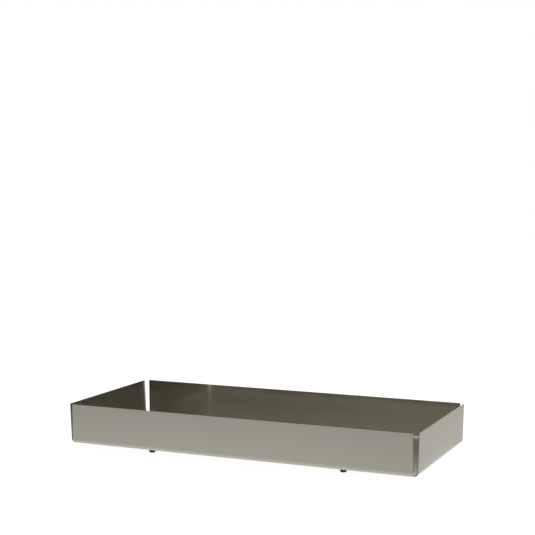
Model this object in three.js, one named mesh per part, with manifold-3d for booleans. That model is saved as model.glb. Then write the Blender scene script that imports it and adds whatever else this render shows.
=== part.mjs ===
// A low desk tray folded from one steel sheet, on four black rubber feet.
// Millimetres, +Z up. The origin is on the tabletop, under the middle of the tray.

import * as THREE from 'three';
import { mergeVertices } from 'three/addons/utils/BufferGeometryUtils.js';
import Module from 'manifold-3d';

// Folded sheet
const trayLength = 380; // over the rims of the end walls, along X
const trayWidth = 160; // over the outer faces of the long walls, along Y
const wallHeight = 41; // from the floor's underside to the walls' top edges
const sheetThickness = 1;
const bendInnerRadius = 3.5;
const endWallLean = 2; // degrees, outwards, by which the folded end walls spring back
const longWallInset = 5; // a long wall's end stops this far short of the end wall's rim
const endWallInset = 3.5; // an end wall's end stops this far short of the long wall's outer face
const cornerReliefRadius = 2; // round relief where two bend lines meet

// Rubber feet
const footHeight = 8.4;
const footTipDiameter = 6.4;
const footTopDiameter = 8;
const footTipEdgeRadius = 1;
const footTopEdgeRadius = 0.3;
const footInsetFromEnd = 84; // foot's axis to the outer face of the end wall
const footInsetFromSide = 28; // foot's axis to the outer face of the long wall

// Studs welded under the floor, which the feet screw onto
const studDiameter = 3;
const studLength = 6; // flange and shank together
const studFlangeDiameter = 4.5;
const studFlangeThickness = 0.7;
const studTipChamfer = 0.4;
const studClearance = 0.3; // between a stud and the foot's bore, all round
const boreEndRoom = 0.5; // room left past the stud's tip

// Fineness of round shapes
const bendSegments = 12;
const reliefSegments = 24;
const footSegments = 36;
const studSegments = 24;
const edgeRoundSegments = 5;

// How far a wall's root runs into the floor's edge, so that the fold is one solid
const foldOverlap = 0.5;

const bendOuterRadius = bendInnerRadius + sheetThickness;
const leanAngle = THREE.MathUtils.degToRad(endWallLean);
const flatHalfLength = trayLength / 2 - wallRun(leanAngle);
const flatHalfWidth = trayWidth / 2 - wallRun(0);

const brushedSteel = new THREE.MeshStandardMaterial({
  name: 'brushed_steel', color: 0x999689, roughness: 0.35, metalness: 1,
});
const blackRubber = new THREE.MeshStandardMaterial({
  name: 'black_rubber', color: 0x161616, roughness: 0.8, metalness: 0,
});
const platedSteel = new THREE.MeshStandardMaterial({
  name: 'plated_steel', color: 0xa6a8a8, roughness: 0.4, metalness: 1,
});

const wasm = await Module();
wasm.setup();

function toSolid(geometry) {
  const bare = geometry.clone();
  bare.deleteAttribute('normal');
  bare.deleteAttribute('uv');
  const merged = mergeVertices(bare, 1e-4);
  return new wasm.Manifold(new wasm.Mesh({
    numProp: 3,
    vertProperties: new Float32Array(merged.attributes.position.array),
    triVerts: new Uint32Array(merged.index.array),
  }));
}

function toGeometry(solid) {
  const mesh = solid.getMesh();
  const geometry = new THREE.BufferGeometry();
  geometry.setAttribute('position', new THREE.BufferAttribute(mesh.vertProperties, 3));
  geometry.setIndex(new THREE.BufferAttribute(mesh.triVerts, 1));
  geometry.computeVertexNormals();
  return geometry;
}

// How far a wall's rim stands out past its fold line, if the wall leans outwards.
function wallRun(lean) {
  const straight = wallHeight - bendOuterRadius + bendInnerRadius * Math.sin(lean);
  return bendOuterRadius * Math.cos(lean) + straight * Math.tan(lean);
}

// One wall with its bend, folded up from the floor. It faces +X, the outer edge of
// its rim is at reach, and it is span long, centred on Y = 0.
function foldedWall(reach, span, lean) {
  const foldLine = reach - wallRun(lean);
  const rimDrop = sheetThickness * Math.sin(lean); // the rim is square to the wall
  const rimWidth = sheetThickness * Math.cos(lean);
  const section = new THREE.Shape();
  section.moveTo(foldLine - foldOverlap, 0);
  section.lineTo(foldLine, 0);
  section.absarc(foldLine, bendOuterRadius, bendOuterRadius, -Math.PI / 2, -lean, false);
  section.lineTo(reach, wallHeight - rimDrop);
  section.lineTo(reach - rimWidth, wallHeight);
  section.absarc(foldLine, bendOuterRadius, bendInnerRadius, -lean, -Math.PI / 2, true);
  section.lineTo(foldLine - foldOverlap, sheetThickness);

  const wall = new THREE.ExtrudeGeometry(section, {
    depth: span, bevelEnabled: false, curveSegments: bendSegments / 2,
  });
  wall.rotateX(Math.PI / 2);
  wall.translate(0, span / 2, 0);
  return wall;
}

function reliefHole(x, y) {
  const depth = 2 * bendOuterRadius;
  const hole = new THREE.CylinderGeometry(
    cornerReliefRadius, cornerReliefRadius, depth, reliefSegments,
  );
  hole.rotateX(Math.PI / 2);
  hole.translate(x, y, 0);
  return hole;
}

// The whole tray body is one sheet: the floor, four folded walls and the reliefs
// at the corners of the blank.
function foldedSheet() {
  const floor = new THREE.BoxGeometry(2 * flatHalfLength, 2 * flatHalfWidth, sheetThickness);
  floor.translate(0, 0, sheetThickness / 2);
  let sheet = toSolid(floor);

  const endWallSpan = trayWidth - 2 * endWallInset;
  const longWallSpan = trayLength - 2 * longWallInset;
  for (const side of [0, 1]) {
    const endWall = foldedWall(trayLength / 2, endWallSpan, leanAngle);
    endWall.rotateZ(side * Math.PI);
    sheet = sheet.add(toSolid(endWall));

    const longWall = foldedWall(trayWidth / 2, longWallSpan, 0);
    longWall.rotateZ(Math.PI / 2 + side * Math.PI);
    sheet = sheet.add(toSolid(longWall));
  }
  for (const x of [-flatHalfLength, flatHalfLength]) {
    for (const y of [-flatHalfWidth, flatHalfWidth]) {
      sheet = sheet.subtract(toSolid(reliefHole(x, y)));
    }
  }
  return toGeometry(sheet);
}

// Points of a quarter round, from one angle to another, for a turned profile.
function roundedEdge(radius, height, edgeRadius, startAngle, endAngle) {
  const points = [];
  for (let i = 0; i <= edgeRoundSegments; i += 1) {
    const angle = startAngle + (endAngle - startAngle) * (i / edgeRoundSegments);
    points.push(new THREE.Vector2(
      radius + edgeRadius * Math.cos(angle),
      height + edgeRadius * Math.sin(angle),
    ));
  }
  return points;
}

function turned(profile, segments) {
  const shape = new THREE.LatheGeometry(profile, segments);
  shape.rotateX(Math.PI / 2);
  return shape;
}

// A tapered foot that stands on z = 0, with a stepped blind bore from its top.
function footShape() {
  const tipRadius = footTipDiameter / 2 - footTipEdgeRadius;
  const topRadius = footTopDiameter / 2 - footTopEdgeRadius;
  const flangeBore = studFlangeDiameter / 2 + studClearance;
  const flangeBoreFloor = footHeight - studFlangeThickness - studClearance;
  const shankBore = studDiameter / 2 + studClearance;
  const boreFloor = footHeight - studLength - boreEndRoom;
  return turned([
    new THREE.Vector2(0, 0),
    ...roundedEdge(tipRadius, footTipEdgeRadius, footTipEdgeRadius, -Math.PI / 2, 0),
    ...roundedEdge(topRadius, footHeight - footTopEdgeRadius, footTopEdgeRadius, 0, Math.PI / 2),
    new THREE.Vector2(flangeBore, footHeight),
    new THREE.Vector2(flangeBore, flangeBoreFloor),
    new THREE.Vector2(shankBore, flangeBoreFloor),
    new THREE.Vector2(shankBore, boreFloor),
    new THREE.Vector2(0, boreFloor),
  ], footSegments);
}

// A stud hanging from the floor's underside at z = 0: flange on top, chamfered tip.
function studShape() {
  const shank = studDiameter / 2;
  return turned([
    new THREE.Vector2(0, -studLength),
    new THREE.Vector2(shank - studTipChamfer, -studLength),
    new THREE.Vector2(shank, studTipChamfer - studLength),
    new THREE.Vector2(shank, -studFlangeThickness),
    new THREE.Vector2(studFlangeDiameter / 2, -studFlangeThickness),
    new THREE.Vector2(studFlangeDiameter / 2, 0),
    new THREE.Vector2(0, 0),
  ], studSegments);
}

function piece(name, geometry, material, x, y, z) {
  const mesh = new THREE.Mesh(geometry, material);
  mesh.name = name;
  mesh.position.set(x, y, z);
  return mesh;
}

const tray = new THREE.Group();
tray.add(piece('tray_body', foldedSheet(), brushedSteel, 0, 0, footHeight));

const footX = trayLength / 2 - footInsetFromEnd;
const footY = trayWidth / 2 - footInsetFromSide;
const corners = {
  front_left: [-footX, -footY],
  front_right: [footX, -footY],
  back_left: [-footX, footY],
  back_right: [footX, footY],
};
for (const [corner, [x, y]] of Object.entries(corners)) {
  tray.add(piece(`foot_${corner}`, footShape(), blackRubber, x, y, 0));
  tray.add(piece(`stud_${corner}`, studShape(), platedSteel, x, y, footHeight));
}

export default tray;
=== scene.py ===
# Low folded-steel desk tray on four rubber feet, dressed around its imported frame

import math

import bmesh
import bpy
from mathutils import Matrix, Vector


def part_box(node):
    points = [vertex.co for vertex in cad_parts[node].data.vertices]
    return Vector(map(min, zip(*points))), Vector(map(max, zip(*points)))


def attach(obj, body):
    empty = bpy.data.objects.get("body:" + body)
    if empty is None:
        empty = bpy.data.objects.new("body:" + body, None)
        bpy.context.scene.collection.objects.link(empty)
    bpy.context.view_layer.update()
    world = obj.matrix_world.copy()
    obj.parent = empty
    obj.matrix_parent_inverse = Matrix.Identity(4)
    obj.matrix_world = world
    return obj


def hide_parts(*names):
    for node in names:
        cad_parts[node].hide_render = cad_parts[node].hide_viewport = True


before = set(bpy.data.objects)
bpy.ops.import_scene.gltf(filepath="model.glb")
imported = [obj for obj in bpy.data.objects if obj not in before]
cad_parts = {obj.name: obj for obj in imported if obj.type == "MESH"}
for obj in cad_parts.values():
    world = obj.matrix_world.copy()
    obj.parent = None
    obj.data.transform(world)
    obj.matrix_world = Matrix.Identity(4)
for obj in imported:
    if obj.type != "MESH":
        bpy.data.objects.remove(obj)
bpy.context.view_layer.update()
print("frame loaded:", len(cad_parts), "nodes")

mm = 0.001
tiny = 1e-6  # metres, under which two places are the same
fullWeight = 100  # of the largest faces, so that they stay flat up to their softened edges


def srgb(hexCode):  # "#999689" to linear RGBA
    channels = [int(hexCode[i : i + 2], 16) / 255 for i in (1, 3, 5)]
    linear = [c / 12.92 if c <= 0.04045 else ((c + 0.055) / 1.055) ** 2.4 for c in channels]
    return (*linear, 1.0)


def addNode(tree, kind, links=None, **settings):  # links: input name or number to an output socket
    node = tree.nodes.new(kind)
    for name, value in settings.items():
        if hasattr(node, name):
            setattr(node, name, value)
        else:
            node.inputs[name.replace("_", " ")].default_value = value
    for name, source in (links or {}).items():
        tree.links.new(source, node.inputs[name])
    return node


def newMaterial(name):
    material = bpy.data.materials.new(name)
    material.use_nodes = True
    material.node_tree.nodes.clear()
    return material, material.node_tree


def finishMaterial(tree, shader):
    addNode(tree, "ShaderNodeOutputMaterial", {"Surface": shader.outputs[0]})


def newPiece(name, bm, materials, replacedNode):
    mesh = bpy.data.meshes.new(name)
    bm.to_mesh(mesh)
    bm.free()
    for material in materials:
        mesh.materials.append(material)
    piece = bpy.data.objects.new(name, mesh)
    bpy.context.scene.collection.objects.link(piece)
    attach(piece, "root")
    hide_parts(replacedNode)
    return piece


# Satin stainless sheet, ground along the length of the coil before it was cut and folded.
# The grain smears reflections across its lines and leaves them crisp along them. Over the
# crisp mirror lies the soft haze of the finest scratches, so edges show faintly in it.
steel = {
    "color": "#bcbab2",
    "darker": "#b7b5ad",
    "roughness": 0.09,  # the crisp mirror
    "hazeRoughness": 0.29,
    "hazeShare": 0.42,
    "roughnessSpread": 0.02,
    "anisotropy": 0.6,
    "grainWidth": 0.35 * mm,  # real lines are about 0.1 mm, drawn coarser so that they show
    "grainLength": 40 * mm,
    "cloudSize": 60 * mm,  # slow drift in tone from the grinding belt
    "grainDepth": 0.0005 * mm,
    "grainStrength": 0.5,
    "waveSize": 90 * mm,  # the sheet isn't dead flat, so what it mirrors bends a little
    "waveDepth": 0.6 * mm,
    "wavePlace": (0.0, 0.06, 0.02),  # metres, chooses which waves fall where
}


def satinStainless():
    material, tree = newMaterial("satinStainless")
    blank = addNode(tree, "ShaderNodeUVMap", uv_map="blank")
    grainScale = (1 / steel["grainLength"], 1 / steel["grainWidth"], 1)
    stretched = addNode(
        tree, "ShaderNodeMapping", {"Vector": blank.outputs["UV"]}, Scale=grainScale
    )
    grain = addNode(
        tree, "ShaderNodeTexNoise", {"Vector": stretched.outputs[0]}, Scale=1.0, Detail=3.0
    )
    cloud = addNode(
        tree,
        "ShaderNodeTexNoise",
        {"Vector": blank.outputs["UV"]},
        Scale=1 / steel["cloudSize"],
        Detail=2.0,
    )
    tone = addNode(
        tree,
        "ShaderNodeMix",
        {"Factor": grain.outputs["Fac"], 2: cloud.outputs["Fac"], 3: grain.outputs["Fac"]},
        data_type="FLOAT",
    )
    color = addNode(tree, "ShaderNodeMix", {"Factor": tone.outputs[0]}, data_type="RGBA")
    color.inputs[6].default_value = srgb(steel["darker"])
    color.inputs[7].default_value = srgb(steel["color"])
    shifted = addNode(
        tree, "ShaderNodeMapping", {"Vector": blank.outputs["UV"]}, Location=steel["wavePlace"]
    )
    wave = addNode(
        tree,
        "ShaderNodeTexNoise",
        {"Vector": shifted.outputs[0]},
        Scale=1 / steel["waveSize"],
        Detail=0.0,
    )
    warped = addNode(
        tree,
        "ShaderNodeBump",
        {"Height": wave.outputs["Fac"]},
        Strength=1.0,
        Distance=steel["waveDepth"],
    )
    bump = addNode(
        tree,
        "ShaderNodeBump",
        {"Height": grain.outputs["Fac"], "Normal": warped.outputs[0]},
        Strength=steel["grainStrength"],
        Distance=steel["grainDepth"],
    )
    tangent = addNode(tree, "ShaderNodeTangent", direction_type="UV_MAP", uv_map="blank")
    lobes = []
    for roughness in (steel["roughness"], steel["hazeRoughness"]):
        spread = addNode(
            tree,
            "ShaderNodeMapRange",
            {"Value": grain.outputs["Fac"]},
            To_Min=roughness - steel["roughnessSpread"] / 2,
            To_Max=roughness + steel["roughnessSpread"] / 2,
        )
        lobes.append(
            addNode(
                tree,
                "ShaderNodeBsdfPrincipled",
                {
                    "Base Color": color.outputs[2],
                    "Roughness": spread.outputs[0],
                    "Normal": bump.outputs[0],
                    "Tangent": tangent.outputs[0],
                },
                Metallic=1.0,
                Anisotropic=steel["anisotropy"],
                Anisotropic_Rotation=0.25,  # smear across the grain
            )
        )
    metal = addNode(
        tree,
        "ShaderNodeMixShader",
        {1: lobes[0].outputs[0], 2: lobes[1].outputs[0]},
        Fac=steel["hazeShare"],
    )
    finishMaterial(tree, metal)
    return material


# The laser-cut edge of the same sheet, left as the laser leaves it: rougher and a little
# darker than the faces, so it reads as a thin dull line along every rim.
cutEdge = {
    "color": "#969590",
    "roughness": 0.5,
    "ripple": 0.25 * mm,  # the beam's drag lines
    "rippleDepth": 0.01 * mm,
    "rippleStrength": 0.4,
}


def laserCutEdge():
    material, tree = newMaterial("laserCutEdge")
    place = addNode(tree, "ShaderNodeTexCoord")
    ripple = addNode(
        tree,
        "ShaderNodeTexNoise",
        {"Vector": place.outputs["Object"]},
        Scale=1 / cutEdge["ripple"],
        Detail=2.0,
    )
    bump = addNode(
        tree,
        "ShaderNodeBump",
        {"Height": ripple.outputs["Fac"]},
        Strength=cutEdge["rippleStrength"],
        Distance=cutEdge["rippleDepth"],
    )
    metal = addNode(
        tree,
        "ShaderNodeBsdfPrincipled",
        {"Normal": bump.outputs[0]},
        Base_Color=srgb(cutEdge["color"]),
        Metallic=1.0,
        Roughness=cutEdge["roughness"],
    )
    finishMaterial(tree, metal)
    return material


# Moulded black rubber: matt, with a fine skin and a grey bloom in its hollows
rubber = {
    "color": "#0b0b0b",
    "bloom": "#161615",
    "roughness": 0.72,
    "ior": 1.52,
    "skin": 0.3 * mm,
    "skinDepth": 0.02 * mm,
    "skinStrength": 0.5,
}


def mouldedRubber():
    material, tree = newMaterial("mouldedRubber")
    place = addNode(tree, "ShaderNodeTexCoord")
    skin = addNode(
        tree,
        "ShaderNodeTexNoise",
        {"Vector": place.outputs["Object"]},
        Scale=1 / rubber["skin"],
        Detail=3.0,
    )
    color = addNode(tree, "ShaderNodeMix", {"Factor": skin.outputs["Fac"]}, data_type="RGBA")
    color.inputs[6].default_value = srgb(rubber["color"])
    color.inputs[7].default_value = srgb(rubber["bloom"])
    bump = addNode(
        tree,
        "ShaderNodeBump",
        {"Height": skin.outputs["Fac"]},
        Strength=rubber["skinStrength"],
        Distance=rubber["skinDepth"],
    )
    body = addNode(
        tree,
        "ShaderNodeBsdfPrincipled",
        {"Base Color": color.outputs[2], "Normal": bump.outputs[0]},
        Roughness=rubber["roughness"],
        IOR=rubber["ior"],
    )
    finishMaterial(tree, body)
    return material


# Zinc-plated stud: pale blue-grey, with the plating's crystals as a slight mottle
zinc = {"color": "#a3a7aa", "darker": "#8f9497", "roughness": 0.38, "spangle": 0.8 * mm}


def zincPlate():
    material, tree = newMaterial("zincPlate")
    place = addNode(tree, "ShaderNodeTexCoord")
    spangle = addNode(
        tree,
        "ShaderNodeTexNoise",
        {"Vector": place.outputs["Object"]},
        Scale=1 / zinc["spangle"],
        Detail=2.0,
    )
    color = addNode(tree, "ShaderNodeMix", {"Factor": spangle.outputs["Fac"]}, data_type="RGBA")
    color.inputs[6].default_value = srgb(zinc["darker"])
    color.inputs[7].default_value = srgb(zinc["color"])
    metal = addNode(
        tree,
        "ShaderNodeBsdfPrincipled",
        {"Base Color": color.outputs[2]},
        Metallic=1.0,
        Roughness=zinc["roughness"],
    )
    finishMaterial(tree, metal)
    return material


# The tray body: one blank, its four walls folded up step by step as in a press brake
sheet = {
    "thickness": 1.0 * mm,
    "bendRadius": 4.5 * mm,  # outer face
    "bendSteps": 16,
    "endWallLean": 2.0,  # degrees, which the fold springs back by
    "longWallInset": 5.0 * mm,  # from the tray's whole length to the long walls' ends
    "endWallInset": 3.5 * mm,  # from its whole width to the end walls' ends
    "reliefRadius": 2.0 * mm,
    "reliefSteps": 24,
    "cornerRadius": 0.6 * mm,
    "cornerSteps": 4,
    "edgeSoftening": 0.12 * mm,
    "edgeSteps": 2,
    "sharpAngle": 50,  # degrees, over which an edge is a cut and not a fold
}


def blankQuarter(bm, flat, reach, flapEnds):  # outline of one quarter, with its corner relief
    radius = sheet["reliefRadius"]
    startAngle = math.asin((flapEnds.y - flat.y) / radius)
    endAngle = math.acos((flapEnds.x - flat.x) / radius) - 2 * math.pi
    corners = [Vector((0, 0)), Vector((reach.x, 0)), Vector((reach.x, flapEnds.y))]
    for step in range(sheet["reliefSteps"] + 1):
        angle = startAngle + (endAngle - startAngle) * step / sheet["reliefSteps"]
        corners.append(flat + radius * Vector((math.cos(angle), math.sin(angle))))
    corners += [Vector((flapEnds.x, reach.y)), Vector((0, reach.y))]
    verts = [bm.verts.new((corner.x, corner.y, 0)) for corner in corners]
    bm.faces.new(verts)
    outerCorners = [verts[2], verts[-2]]
    bmesh.ops.bevel(
        bm,
        geom=outerCorners,
        offset=sheet["cornerRadius"],
        affect="VERTICES",
        segments=sheet["cornerSteps"],
        profile=0.5,
        material=-1,
    )


def cutAcross(bm, axis, place):  # a line across the blank at x or y = place
    normal = Vector((0, 0, 0))
    normal[axis] = 1
    bmesh.ops.bisect_plane(
        bm, geom=bm.verts[:] + bm.edges[:] + bm.faces[:], plane_co=normal * place, plane_no=normal
    )


def stepSpacing(foldAngle):  # between the lines across a bend, on the flat blank
    return 2 * sheet["bendRadius"] * math.tan(foldAngle / sheet["bendSteps"] / 2)


# Turns a flap up, a little at each of the lines across its bend
def foldFlap(bm, flapVerts, axis, side, foldStart, foldAngle):
    steps = sheet["bendSteps"]
    angle = foldAngle / steps
    spacing = stepSpacing(foldAngle)
    turnAxis = "Y" if axis == 0 else "X"
    turn = -side * angle if axis == 0 else side * angle
    hinge = Vector((0, 0, 0))
    hinge[axis] = side * (foldStart + spacing / 2)
    for step in range(steps):
        line = foldStart + spacing * (step + 0.5) - tiny
        beyond = [v for v, flatPlace in flapVerts if flatPlace > line]
        bmesh.ops.rotate(bm, verts=beyond, cent=hinge, matrix=Matrix.Rotation(turn, 3, turnAxis))
        heading = angle * (step + 1)
        hinge[axis] += side * spacing * math.cos(heading)
        hinge.z += spacing * math.sin(heading)


def buildTrayBody():
    low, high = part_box("tray_body")
    half = Vector((high.x, high.y))
    bend = sheet["bendRadius"]
    lean = math.radians(sheet["endWallLean"])
    wallHeight = high.z - low.z
    # The walls' straight parts, past their bends. All rims are level, leaning or not.
    longWall = wallHeight - bend
    endWall = longWall + (bend - sheet["thickness"]) * math.sin(lean)
    endWall /= math.cos(lean)
    flat = half - Vector((bend * math.cos(lean) + endWall * math.sin(lean), bend))
    foldAngles = (math.pi / 2 - lean, math.pi / 2)
    spacings = [stepSpacing(angle) for angle in foldAngles]
    bends = sheet["bendSteps"] * Vector(spacings)
    reach = flat + bends + Vector((endWall, longWall))
    flapEnds = half - Vector((sheet["longWallInset"], sheet["endWallInset"]))

    bm = bmesh.new()
    blankQuarter(bm, flat, reach, flapEnds)
    for mirrorAxis in ("X", "Y"):
        quarters = bm.verts[:] + bm.edges[:] + bm.faces[:]
        bmesh.ops.mirror(bm, geom=quarters, axis=mirrorAxis, merge_dist=tiny)
    bmesh.ops.remove_doubles(bm, verts=bm.verts[:], dist=tiny)
    for axis in (0, 1):
        for step in range(sheet["bendSteps"]):
            for side in (-1, 1):
                cutAcross(bm, axis, side * (flat[axis] + spacings[axis] * (step + 0.5)))
    bmesh.ops.recalc_face_normals(bm, faces=bm.faces[:])
    if bm.faces[:][0].normal.z > 0:
        bmesh.ops.reverse_faces(bm, faces=bm.faces[:])

    # The UV map is the flat blank in metres, so that the grain follows the folds
    blank = bm.loops.layers.uv.new("blank")
    for face in bm.faces:
        face.smooth = True
        for loop in face.loops:
            loop[blank].uv = loop.vert.co.xy

    endFlaps = []
    longFlaps = []
    for vert in bm.verts:
        x = abs(vert.co.x)
        y = abs(vert.co.y)
        if x > flapEnds.x + tiny or (x > flat.x and y < flat.y):
            endFlaps.append(vert)
        elif y > flat.y:
            longFlaps.append(vert)
    for axis, flapVerts in ((0, endFlaps), (1, longFlaps)):
        for side in (-1, 1):
            placed = [(v, abs(v.co[axis])) for v in flapVerts if v.co[axis] * side > 0]
            foldFlap(bm, placed, axis, side, flat[axis], foldAngles[axis])
    bmesh.ops.translate(bm, verts=bm.verts[:], vec=(0, 0, low.z))

    tray = newPiece("traySheet", bm, [satinStainless(), laserCutEdge()], "tray_body")
    thicken = tray.modifiers.new("thicken", "SOLIDIFY")
    thicken.thickness = sheet["thickness"]
    thicken.offset = -1
    thicken.use_even_offset = True
    thicken.material_offset_rim = 1
    soften = tray.modifiers.new("soften", "BEVEL")
    soften.width = sheet["edgeSoftening"]
    soften.segments = sheet["edgeSteps"]
    soften.limit_method = "ANGLE"
    soften.angle_limit = math.radians(sheet["sharpAngle"])
    soften.material = 1  # the softened edges keep the look of the cut
    flatten = tray.modifiers.new("flatten", "WEIGHTED_NORMAL")
    flatten.weight = fullWeight
    print("tray body folded")
    return tray


# Rubber feet, turned about their axes, with the moulding's soft edges
foot = {
    "tipDiameter": 6.4 * mm,
    "topDiameter": 8.0 * mm,
    "tipRounding": 1.0 * mm,
    "topRounding": 0.3 * mm,
    "boreDiameter": 3.6 * mm,
    "boreDepth": 6.5 * mm,
    "flangeBoreDiameter": 5.1 * mm,
    "flangeBoreDepth": 1.0 * mm,
    "roundingSteps": 6,
    "turns": 64,
}


def buildFoot(node, material):
    low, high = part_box(node)
    centre = (low + high) / 2
    top = high.z
    bm = bmesh.new()
    outline = [
        (0, low.z),
        (foot["tipDiameter"] / 2, low.z),
        (foot["topDiameter"] / 2, top),
        (foot["flangeBoreDiameter"] / 2, top),
        (foot["flangeBoreDiameter"] / 2, top - foot["flangeBoreDepth"]),
        (foot["boreDiameter"] / 2, top - foot["flangeBoreDepth"]),
        (foot["boreDiameter"] / 2, top - foot["boreDepth"]),
        (0, top - foot["boreDepth"]),
    ]
    verts = [bm.verts.new((centre.x + radius, centre.y, z)) for radius, z in outline]
    edges = [bm.edges.new(pair) for pair in zip(verts, verts[1:])]
    for vert, rounding in ((verts[1], "tipRounding"), (verts[2], "topRounding")):
        bmesh.ops.bevel(
            bm,
            geom=[vert],
            offset=foot[rounding],
            affect="VERTICES",
            segments=foot["roundingSteps"],
            profile=0.5,
            material=-1,
        )
    bmesh.ops.spin(
        bm,
        geom=bm.verts[:] + bm.edges[:],
        cent=(centre.x, centre.y, 0),
        axis=(0, 0, 1),
        angle=2 * math.pi,
        steps=foot["turns"],
        use_merge=True,
    )
    bmesh.ops.remove_doubles(bm, verts=bm.verts[:], dist=tiny)
    bmesh.ops.recalc_face_normals(bm, faces=bm.faces[:])
    for face in bm.faces:
        face.smooth = True
    name = "rubberFoot" + node.removeprefix("foot").title().replace("_", "")
    piece = newPiece(name, bm, [material], node)
    crisp = piece.modifiers.new("crisp", "WEIGHTED_NORMAL")
    crisp.weight = fullWeight
    return piece


def paintStuds(material):
    for name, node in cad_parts.items():
        if name.startswith("stud"):
            node.data.materials.clear()
            node.data.materials.append(material)


# White sweep with soft light from above. The eye sees it burnt out to white. The steel sees
# the table's real grey, lighter in the pool of light and under and close round the tray, and
# a grey room with three lit patches.
studio = {
    "floorSize": 6.0,  # metres
    "floorPaint": "#8c8c8c",
    "floorGlow": 0.9,  # with the paint's own light this is white, and keeps a faint shadow
    "poolTone": "#e0ded7",  # the table where the light pools, behind the tray's middle
    "tableTone": "#c9c8c1",
    "poolPlace": (-0.03, 0.15, 0.0),
    "poolInner": 0.2,  # metres from its place, as is the next
    "poolOuter": 0.55,
    # the floor's tone under the tray and close round it, lighter than the table beyond
    "paperTone": "#f4f3ee",
    "paperMargin": 0.004,  # metres past the tray where the lighter tone starts to darken
    "paperFade": 0.02,
    "roomTone": "#8b8982",
    # Middle, cosines of the angles where light starts and is full, added times the room's tone
    "litPatches": {
        "backdrop": ((0.1, 0.9, 0.3), 0.78, 0.96, 4.7),
        "ceiling": ((0.0, 0.0, 1.0), 0.78, 0.92, 4.2),
        "frontLeftCard": ((-0.55, -0.8, 0.22), 0.93, 0.98, 0.9),
    },
    "ambient": 0.6,  # of the white surroundings, for the matt surfaces
    "keyPower": 14.0,
    "keySize": 1.2,
    "keyPlace": (-0.7, -0.9, 1.6),
    "fillPower": 8.0,
    "fillSize": 1.4,
    "fillPlace": (1.4, 0.5, 1.2),
}


def buildFloor():
    material, tree = newMaterial("whiteSweep")
    material.cycles.emission_sampling = "NONE"
    path = addNode(tree, "ShaderNodeLightPath")
    direct = addNode(
        tree,
        "ShaderNodeMath",
        {0: path.outputs["Is Camera Ray"], 1: path.outputs["Is Transmission Ray"]},
        operation="MAXIMUM",
    )
    strength = addNode(
        tree,
        "ShaderNodeMapRange",
        {"Value": direct.outputs[0]},
        To_Min=0.0,
        To_Max=studio["floorGlow"],
    )
    paint = addNode(tree, "ShaderNodeBsdfDiffuse", Color=srgb(studio["floorPaint"]))
    glow = addNode(tree, "ShaderNodeEmission", {"Strength": strength.outputs[0]})
    white = addNode(tree, "ShaderNodeAddShader", {0: paint.outputs[0], 1: glow.outputs[0]})

    place = addNode(tree, "ShaderNodeTexCoord")
    fromMiddle = addNode(
        tree, "ShaderNodeVectorMath", {0: place.outputs["Object"]}, operation="ABSOLUTE"
    )
    outside = addNode(
        tree, "ShaderNodeVectorMath", {0: fromMiddle.outputs[0]}, operation="SUBTRACT"
    )
    outside.inputs[1].default_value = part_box("tray_body")[1]
    sides = addNode(tree, "ShaderNodeSeparateXYZ", {0: outside.outputs[0]})
    beyond = addNode(
        tree, "ShaderNodeMath", {0: sides.outputs["X"], 1: sides.outputs["Y"]}, operation="MAXIMUM"
    )
    fade = addNode(
        tree,
        "ShaderNodeMapRange",
        {"Value": beyond.outputs[0]},
        interpolation_type="SMOOTHSTEP",
        From_Min=studio["paperMargin"],
        From_Max=studio["paperMargin"] + studio["paperFade"],
    )
    fromPool = addNode(
        tree, "ShaderNodeVectorMath", {0: place.outputs["Object"]}, operation="DISTANCE"
    )
    fromPool.inputs[1].default_value = studio["poolPlace"]
    dimmed = addNode(
        tree,
        "ShaderNodeMapRange",
        {"Value": fromPool.outputs["Value"]},
        interpolation_type="SMOOTHSTEP",
        From_Min=studio["poolInner"],
        From_Max=studio["poolOuter"],
    )
    bare = addNode(tree, "ShaderNodeMix", {"Factor": dimmed.outputs[0]}, data_type="RGBA")
    bare.inputs[6].default_value = srgb(studio["poolTone"])
    bare.inputs[7].default_value = srgb(studio["tableTone"])
    # Lighter under and close round the tray, fading to the table's tone past the margin
    tone = addNode(
        tree, "ShaderNodeMix", {"Factor": fade.outputs[0], 7: bare.outputs[2]}, data_type="RGBA"
    )
    tone.inputs[6].default_value = srgb(studio["paperTone"])
    table = addNode(tree, "ShaderNodeEmission", {"Color": tone.outputs[2]})
    either = addNode(
        tree,
        "ShaderNodeMixShader",
        {0: path.outputs["Is Glossy Ray"], 1: white.outputs[0], 2: table.outputs[0]},
    )
    finishMaterial(tree, either)
    bm = bmesh.new()
    bmesh.ops.create_grid(bm, x_segments=1, y_segments=1, size=studio["floorSize"] / 2)
    mesh = bpy.data.meshes.new("floor")
    bm.to_mesh(mesh)
    bm.free()
    mesh.materials.append(material)
    floor = bpy.data.objects.new("floor", mesh)
    bpy.context.scene.collection.objects.link(floor)


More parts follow.
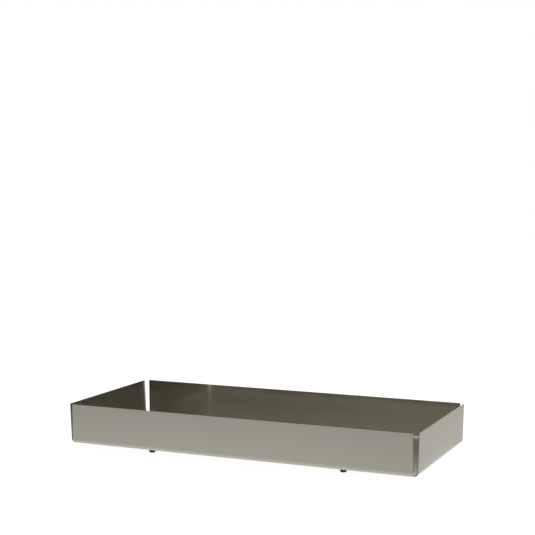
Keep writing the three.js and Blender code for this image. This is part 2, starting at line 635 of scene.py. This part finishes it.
def buildWorld():
    world = bpy.data.worlds.new("studio")
    world.use_nodes = True
    world.cycles.sampling_method = "NONE"
    tree = world.node_tree
    tree.nodes.clear()
    path = addNode(tree, "ShaderNodeLightPath")
    direction = addNode(tree, "ShaderNodeTexCoord")
    total = None
    for middle, edge, full, glow in studio["litPatches"].values():
        towards = addNode(
            tree,
            "ShaderNodeVectorMath",
            {0: direction.outputs["Generated"]},
            operation="DOT_PRODUCT",
        )
        towards.inputs[1].default_value = Vector(middle).normalized()
        unlit = 0.0 if total else 1.0  # the bare room's own light is counted once
        lit = addNode(
            tree,
            "ShaderNodeMapRange",
            {"Value": towards.outputs["Value"]},
            interpolation_type="SMOOTHSTEP",
            From_Min=edge,
            From_Max=full,
            To_Min=unlit,
            To_Max=unlit + glow,
        )
        if total:
            lit = addNode(
                tree, "ShaderNodeMath", {0: total.outputs[0], 1: lit.outputs[0]}, operation="ADD"
            )
        total = lit
    room = addNode(
        tree,
        "ShaderNodeBackground",
        {"Strength": total.outputs[0]},
        Color=srgb(studio["roomTone"]),
    )
    direct = addNode(
        tree,
        "ShaderNodeMath",
        {0: path.outputs["Is Camera Ray"], 1: path.outputs["Is Transmission Ray"]},
        operation="MAXIMUM",
    )
    strength = addNode(
        tree,
        "ShaderNodeMapRange",
        {"Value": direct.outputs[0]},
        To_Min=studio["ambient"],
        To_Max=1.0,
    )
    sky = addNode(
        tree, "ShaderNodeBackground", {"Strength": strength.outputs[0]}, Color=srgb("#ffffff")
    )
    either = addNode(
        tree,
        "ShaderNodeMixShader",
        {0: path.outputs["Is Glossy Ray"], 1: sky.outputs[0], 2: room.outputs[0]},
    )
    addNode(tree, "ShaderNodeOutputWorld", {"Surface": either.outputs[0]})
    bpy.context.scene.world = world


def addSoftbox(name, place, size, power):
    light = bpy.data.lights.new(name, "AREA")
    light.size = size
    light.energy = power
    lamp = bpy.data.objects.new(name, light)
    lamp.location = place
    lamp.rotation_euler = Vector(place).to_track_quat("Z", "Y").to_euler()
    lamp.visible_glossy = False
    bpy.context.scene.collection.objects.link(lamp)


# The photograph's camera, from the tray's own edges: the frame is 535 pixels square
view = {
    "azimuth": 24.504,  # degrees, as are the next two
    "elevation": 4.542,
    "roll": -0.415,
    "distance": 1.25236,  # metres from the tray's underside, as are the next two
    "sideways": 0.00294,
    "upwards": 0.18232,
    "focalPixels": 1202.9,
    "framePixels": 535,
    "sensorWidth": 36.0,  # millimetres
    "clipStart": 0.01,  # metres
}


def buildCamera():
    turn = Matrix.Rotation(math.radians(view["azimuth"]), 4, "Z")
    tilt = Matrix.Rotation(math.radians(90 - view["elevation"]), 4, "X")
    roll = Matrix.Rotation(math.radians(view["roll"]), 4, "Z")
    offset = Matrix.Translation((view["sideways"], view["upwards"], view["distance"]))
    underside = Matrix.Translation((0, 0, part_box("tray_body")[0].z))
    lens = bpy.data.cameras.new("photoCamera")
    lens.sensor_width = view["sensorWidth"]
    lens.lens = view["focalPixels"] / view["framePixels"] * view["sensorWidth"]
    lens.clip_start = view["clipStart"]
    camera = bpy.data.objects.new("photoCamera", lens)
    camera.matrix_world = underside @ turn @ tilt @ offset @ roll
    bpy.context.scene.collection.objects.link(camera)
    bpy.context.scene.camera = camera


buildTrayBody()
footRubber = mouldedRubber()
for nodeName in sorted(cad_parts):
    if nodeName.startswith("foot"):
        buildFoot(nodeName, footRubber)
paintStuds(zincPlate())
print("feet and studs finished")
buildFloor()
buildWorld()
addSoftbox("key", studio["keyPlace"], studio["keySize"], studio["keyPower"])
addSoftbox("fill", studio["fillPlace"], studio["fillSize"], studio["fillPower"])
buildCamera()
bpy.context.scene.view_settings.view_transform = "Standard"
print("studio and camera ready")
